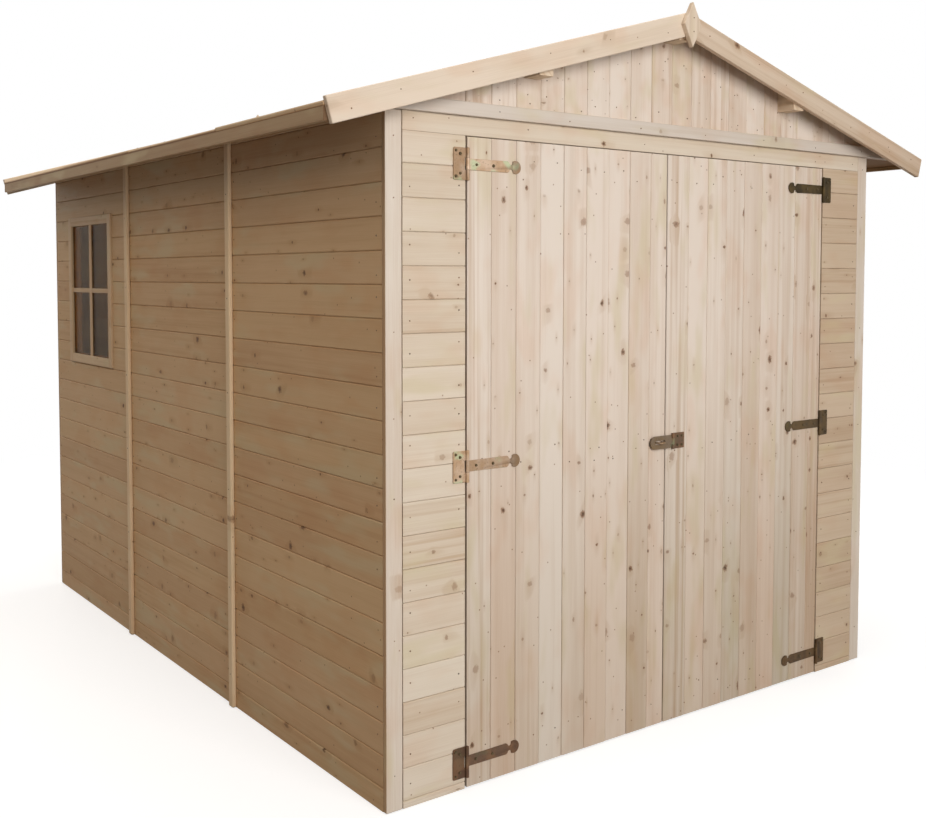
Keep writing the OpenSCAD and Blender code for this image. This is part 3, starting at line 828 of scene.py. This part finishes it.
glazing, tree, shader = new_material("window_glazing")
dust = clouds(tree, own_place(tree), 7, 4)
feed(tree, shader, {
    "Base Color": blend(tree, dust, paint(238, 218, 184), paint(226, 204, 166)),
    "Roughness": calc(tree, "MULTIPLY_ADD", dust, 0.10, 0.12), "Transmission Weight": 1.0, "IOR": 1.06,
    "Specular Tint": (1, 0.78, 0.55, 1),
})
dress("window_glass", glazing)


# Doors. Two leaves of upright tongued boards, nailed to three flat ledges across the back of each leaf. The
# boards are paler and pinker than the wall's, with many small knots, and grow a little darker towards the
# bottom.
leaf_cover = 0.0866
leaf_count = 9
ledge_heights = (0.075, 0.876, 1.675)
door_pine = pine("door_pine", *door_tones, 0.55, 0.50, darkening_heights=(1.30, 0.15))
ledge_pine = pine("ledge_pine", *frame_tones, 0.22, 0.5, (1, 0, 0), (0, 0, 1))
for body, low_x, high_x, first, seed in (
    ("left_door", -0.758, -0.0025, -0.763, 121), ("right_door", 0.0025, 0.758, 0.0115, 131),
):
    low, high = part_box(body + "_boards")

    def to_leaf(place):
        if place.x < first + 0.02:
            place.x += min(low_x - first, 0)
        place.x = max(min(place.x, high_x), low_x)
        place.z = max(min(place.z, high.z), low.z)
        return place

    leaf = blank()
    lay_boards(leaf, tongue_profile(leaf_cover), high.z - low.z, leaf_cover, leaf_count,
               (first, low.y, high.z), (0, 0, -1), (1, 0, 0), seed, door_pine, to_leaf, 0.0012)
    keep(leaf, body + "_boards", door_pine, body)
    for i in range(leaf_count):
        for z in ledge_heights:
            for across, rise in ((0.3, -0.018), (0.7, 0.018)):
                x = first + (i + across + sway(0.1)) * leaf_cover
                if low_x + 0.02 < x < high_x - 0.02 and chance.random() < 0.6:
                    nail(x, low.y, z + rise + sway(0.014), (0, -1, 0), body)
    dress(body + "_ledges", ledge_pine)


# Nails. Small wire nails with flat heads hold every board to its stud, ledge or purlin. Their heads are
# driven almost flush and have gone dull brown.
def driven_nails():
    """Geometry nodes: a low round head on every point, facing out of the board."""
    tree, given = new_group("driven_nails", "GeometryNodeTree", {
        "Places": "Geometry", "Head width": "Float", "Stand": "Float", "Seed": "Int", "Steel": "Material",
    }, {"Nails": "Geometry"})
    head = add(tree, "GeometryNodeMeshCone", {
        "Vertices": 9, "Radius Top": calc(tree, "MULTIPLY", given["Head width"], 0.38),
        "Radius Bottom": calc(tree, "MULTIPLY", given["Head width"], 0.5), "Depth": given["Stand"],
    })
    facing = add(tree, "GeometryNodeInputNamedAttribute", {"Name": "facing"}, data_type="FLOAT_VECTOR")
    turn = add(tree, "FunctionNodeAlignRotationToVector", {"Vector": facing}, axis="Z")
    size = add(tree, "FunctionNodeRandomValue", {2: 0.75, 3: 1.15, 8: given["Seed"]}, 1, data_type="FLOAT")
    laid = add(tree, "GeometryNodeInstanceOnPoints", {
        "Points": given["Places"], "Instance": head, "Rotation": turn,
        "Scale": add(tree, "ShaderNodeCombineXYZ", {0: size, 1: size, 2: 1}),
    })
    laid = add(tree, "GeometryNodeRealizeInstances", {"Geometry": laid})
    laid = add(tree, "GeometryNodeSetMaterial", {"Geometry": laid, "Material": given["Steel"]})
    tree.links.new(laid, tree.nodes.new("NodeGroupOutput").inputs[0])
    return tree


nailing = driven_nails()
nail_steel, tree, shader = new_material("nail_steel")
rust = clouds(tree, own_place(tree), 40, 3)
feed(tree, shader, {
    "Base Color": blend(tree, ramp(tree, rust, 0.35, 0.65), paint(92, 78, 64), paint(126, 92, 62)),
    "Roughness": calc(tree, "MULTIPLY_ADD", rust, 0.25, 0.4), "Metallic": 0.35,
})


def fixings(name, places, body, metal, width, stand):
    """Piece of many like fixings, each at a place and facing a direction."""
    points = bpy.data.meshes.new(name)
    points.from_pydata([place for place, facing in places], [], [])
    layer = points.attributes.new("facing", "FLOAT_VECTOR", "POINT")
    layer.data.foreach_set("vector", [c for place, facing in places for c in facing])
    mesh = grown(nailing, points, {"Head width": width, "Stand": stand, "Seed": 5, "Steel": metal})
    mesh.name = name
    piece = placed(name, mesh)
    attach(piece, body)


for body, places in nails.items():
    fixings(body + "_nails", places, body, nail_steel, width=0.0042, stand=0.0009)


# Hinges. Three pressed steel tee hinges on each leaf: an upright plate on the wall and a strap with a necked
# round end on the door, joined by a pin. The zinc is yellow passivated and has dulled unevenly.
def patina():
    """Node group of dulled yellow zinc: olive brown with coppery and greenish clouds, paler with its tone."""
    tree, given = new_group("zinc_patina", "ShaderNodeTree", {
        "Place": "Vector", "Tone": "Float", "Copper": "Float"}, surface)
    cloud = clouds(tree, given["Place"], 26, 3)
    fine = clouds(tree, given["Place"], 210, 3)
    green = clouds(tree, vector(tree, "ADD", given["Place"], (3.1, 7.7, 1.9)), 21)
    clouded = ramp(tree, cloud, 0.35, 0.65)
    olive = blend(tree, clouded, paint(50, 42, 22), paint(80, 66, 36))
    copper = blend(tree, clouded, paint(80, 54, 38), paint(112, 80, 58))
    dull = blend(tree, given["Copper"], olive, copper)
    bright = blend(tree, clouded, paint(204, 178, 154), paint(184, 152, 120))
    verdant = calc(tree, "MULTIPLY", ramp(tree, green, 0.54, 0.66), 0.75)
    bright = blend(tree, verdant, bright, paint(186, 198, 160))
    colour = blend(tree, given["Tone"], dull, bright)
    speck = calc(tree, "MULTIPLY", ramp(tree, fine, 0.56, 0.72), 0.35)
    feed(tree, tree.nodes.new("NodeGroupOutput"), {
        "Colour": blend(tree, speck, colour, paint(64, 52, 38)),
        "Roughness": calc(tree, "MULTIPLY_ADD", cloud, 0.22, 0.46), "Height": fine,
    })
    return tree


patina_group = patina()


def plated(name, **shares):
    """Zinc plate. Its tone and coppery share are the piece's own attributes, or the same all over."""
    material, tree, shader = new_material(name)
    inputs = {"Place": own_place(tree)}
    for key in ("tone", "copper"):
        own = shares[key] if key in shares else add(tree, "ShaderNodeAttribute", out=2, attribute_name=key)
        inputs[key.capitalize()] = own
    coated(tree, shader, patina_group, inputs, shine=0.18, bump=0.2, depth=0.0005)
    feed(tree, shader, {"Metallic": 0.4})
    return material


zinc = plated("passivated_zinc")
pin_x, pin_y = 0.7605, -1.3325
plate_front, plate_back = front_face - 0.003, front_face - 0.0002
plate_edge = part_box("right_hinge_plates")[1].x - pin_x
plate_half = 0.0425
plate_corner = 0.003
knuckle = 0.0153
knuckle_gap = knuckle + 0.0005
barrel, bore = 0.005, 0.0028
pin_half, pin_radius = 0.0435, 0.0025
strap_end = 0.165
hinge_looks = {
    "left": ((0.66, 0.95, 0.50, 0.5), (0.90, 0.72, 0.35, 0.5), (0.05, 0.10, 0.05, 0.9)),
    "right": ((0.0, 0.0, 0.0, 0.1), (0.04, 0.06, 0.04, 0.2), (0.0, 0.02, 0.0, 0.45)),
}
screws = {"shed": [], "left_door": [], "right_door": []}


def screw(x, z, body="shed"):
    """Notes the place of a screw in a plate on the front."""
    screws[body].append(((x, plate_front, z), (0, -1, 0)))


def tube(bm, centre, low, high, outer, inner, sides=32):
    """Adds an upright round tube, or a rod where it has no bore, with eased rims."""
    rim = 0.0005
    rings = [(outer - rim, low), (outer, low + rim), (outer, high - rim), (outer - rim, high)]
    rings += [(inner, high), (inner, low)] if inner else []
    loops = []
    for radius, z in rings:
        loops.append([bm.verts.new((
            centre[0] + radius * math.cos(math.tau * i / sides),
            centre[1] + radius * math.sin(math.tau * i / sides), z)) for i in range(sides)])
    for a, b in zip(loops, loops[1:] + (loops[:1] if inner else [])):
        for i in range(sides):
            j = (i + 1) % sides
            bm.faces.new((a[i], a[j], b[j], b[i]))
    if not inner:
        bm.faces.new(loops[0][::-1])
        bm.faces.new(loops[-1])


def arc(x, y, radius, degrees):
    """Points of an arc round a place."""
    return [(x + radius * math.cos(a), y + radius * math.sin(a)) for a in map(math.radians, degrees)]


def strap_outline():
    """Outline of a strap from its pin: a bar with cut corners, a round bite on each edge, a round end."""
    half = [(0.0, 0.0146), (0.1375, 0.0154), (0.1425, 0.0120)]
    half += arc(0.149, 0.0125, 0.0065, range(200, 380, 20)) + arc(strap_end, 0, 0.018, range(124, 0, -12))
    return half + [(0.183, 0)] + [(u, -v) for u, v in half[::-1]]


for side, name in ((-1, "left"), (1, "right")):
    plates, straps = blank(), blank()
    for bm in (plates, straps):
        bm.verts.layers.float.new("copper")
    wall = lambda u: side * (pin_x + u)
    leaf = lambda u: side * (pin_x - u)
    for z, (plate_tone, strap_tone, end_tone, copper) in zip(ledge_heights[::-1], hinge_looks[name]):
        near = lambda place: abs(place.z - z) < 0.1
        at_end = lambda place: near(place) and abs(place.x - leaf(strap_end)) < 0.0185
        pin = (side * pin_x, pin_y)
        plank(plates, [(wall(u), z + v) for u, v in (
            (0.0035, -plate_half), (plate_edge - plate_corner, -plate_half),
            (plate_edge, plate_corner - plate_half), (plate_edge, plate_half - plate_corner),
            (plate_edge - plate_corner, plate_half), (0.0035, plate_half), (0.0035, knuckle_gap),
            (0.0075, knuckle_gap), (0.0075, -knuckle_gap), (0.0035, -knuckle_gap))],
            1, plate_front, plate_back, (0, 0, 1), 0.0006)
        for start, stop in ((-plate_half, -knuckle_gap), (knuckle_gap, plate_half)):
            tube(plates, pin, z + start, z + stop, barrel, 0)
        tube(plates, pin, z - pin_half, z + pin_half, pin_radius, 0)
        mark(plates, near, tone=plate_tone, copper=copper)
        plank(straps, [(leaf(u), z + v) for u, v in strap_outline()], 1, plate_front, plate_back, (1, 0, 0),
              0.0006)
        tube(straps, pin, z - knuckle, z + knuckle, barrel, bore)
        boss = bmesh.ops.create_cone(
            straps, cap_ends=True, segments=28, radius1=0.0115, radius2=0.0085, depth=0.0014)
        for vertex in boss["verts"]:
            x, y, lift = vertex.co
            vertex.co = (leaf(strap_end) + x, plate_front - 0.0001 - lift, z + y)
        mark(straps, near, tone=strap_tone, copper=copper)
        mark(straps, at_end, tone=end_tone)
        outer = plate_edge - 0.008
        for u, v in ((outer, 0.034), (0.023, 0.026), (0.023, -0.025), (outer, -0.033)):
            screw(wall(u), z + v)
        for u in (0.031, 0.088):
            screw(leaf(u), z, name + "_door")
    for bm, node, body in (
        (plates, f"{name}_hinge_plates", "shed"), (straps, f"{name}_hinge_straps", name + "_door"),
    ):
        bmesh.ops.recalc_face_normals(bm, faces=bm.faces)
        piece = keep(bm, node, zinc, body)
        piece.data.shade_smooth()
        piece.data.set_sharp_from_angle(angle=math.radians(35))


# Hasp. A slotted steel strap hinged on a plate on the right leaf drops over a wire staple on the left leaf,
# which takes a padlock. All three are zinc plated like the hinges.
for node, tone, copper in (("hasp_plate", 0.10, 0.9), ("hasp_strap", 0.26, 0.1), ("hasp_staple", 0.45, 0.2)):
    dress(node, plated(node + "_zinc", tone=tone, copper=copper))
for x in (0.052, 0.070):
    for z in (-0.014, 0.014):
        screw(x, ledge_heights[1] + z, "right_door")


# Screws. Round headed wood screws hold the hinge plates, the straps and the hasp; they have turned darker
# than the zinc.
screw_steel, tree, shader = new_material("screw_steel")
tarnish = clouds(tree, own_place(tree), 120)
feed(tree, shader, {
    "Base Color": blend(tree, tarnish, paint(64, 54, 40), paint(104, 88, 58)),
    "Roughness": calc(tree, "MULTIPLY_ADD", tarnish, 0.3, 0.3), "Metallic": 0.7,
})
for body, places in screws.items():
    fixings(body + "_screws", places, body, screw_steel, width=0.0085, stand=0.0028)


# Floor and light. A plain pale floor takes the shadow. A large soft light stands before the doors, weaker
# ones stand at the other sides, and an even white surround fills the rest.
def shown(tree):
    """1 for what the camera sees straight, in a reflection or through glass, and else 0."""
    seen = make(tree, "ShaderNodeLightPath")
    return calc(tree, "MAXIMUM", seen["Is Camera Ray"], calc(
        tree, "MAXIMUM", seen["Is Glossy Ray"], seen["Is Transmission Ray"]))


white, black = (1, 1, 1, 1), (0, 0, 0, 1)
floor_mesh = bpy.data.meshes.new("floor")
floor_mesh.from_pydata([(-60, -60, 0), (60, -60, 0), (60, 60, 0), (-60, 60, 0)], [], [(0, 1, 2, 3)])
floor = placed("floor", floor_mesh)
floor.location.z = -0.001
floor_paint = bpy.data.materials.new("floor_paint")
floor_paint.use_nodes = True
tree = floor_paint.node_tree
tree.nodes.clear()
viewed = shown(tree)
away = vector(tree, "LENGTH", own_place(tree), out=1)
near = calc(tree, "SUBTRACT", 1, calc(tree, "MULTIPLY", ramp(tree, away, 2.2, 5.0), viewed))
tint = blend(tree, viewed, (0.24, 0.23, 0.22, 1), (0.55, 0.55, 0.55, 1))
matt = add(tree, "ShaderNodeBsdfDiffuse", {"Color": blend(tree, near, black, tint)})
glow = add(tree, "ShaderNodeEmission", {"Color": white, "Strength": calc(
    tree, "MULTIPLY", viewed, calc(tree, "MULTIPLY_ADD", near, -0.38, 1.0))})
both = add(tree, "ShaderNodeAddShader", {0: matt, 1: glow})
tree.links.new(both, tree.nodes.new("ShaderNodeOutputMaterial").inputs["Surface"])
floor_mesh.materials.append(floor_paint)

world = bpy.data.worlds.new("surround")
bpy.context.scene.world = world
world.use_nodes = True
tree = world.node_tree
tree.nodes.clear()
sky = add(tree, "ShaderNodeBackground", {
    "Color": white, "Strength": calc(tree, "MULTIPLY_ADD", shown(tree), 0.80, 0.20)})
tree.links.new(sky, tree.nodes.new("ShaderNodeOutputWorld").inputs["Surface"])

for name, place, aim, size, power, colour in (
    ("front_light", (-1.0, -6.4, 2.5), (-0.2, -1.3, 1.1), 3.4, 240, (1, 0.99, 0.98)),
    ("left_light", (-6.2, -0.8, 5.6), (-1, 0, 0.9), 5.0, 100, (1, 0.81, 0.60)),
    ("right_light", (7.0, 1.4, 3.8), (1, 0.4, 0.9), 4.0, 130, (1, 0.96, 0.9)),
    ("back_light", (-0.5, 7.6, 3.8), (0, 1.3, 0.9), 4.0, 190, (1, 0.97, 0.92)),
    ("top_light", (0, 0, 6.8), (0, 0, 0), 5.0, 210, (1, 0.99, 0.97)),
):
    data = bpy.data.lights.new(name, "AREA")
    data.shape = "SQUARE"
    data.size = size
    data.energy = power
    data.color = colour
    lamp = placed(name, data)
    lamp.location = place
    lamp.rotation_euler = (Vector(aim) - Vector(place)).to_track_quat("-Z", "Y").to_euler()
    lamp.visible_camera = False

bpy.context.scene.view_settings.view_transform = "Standard"
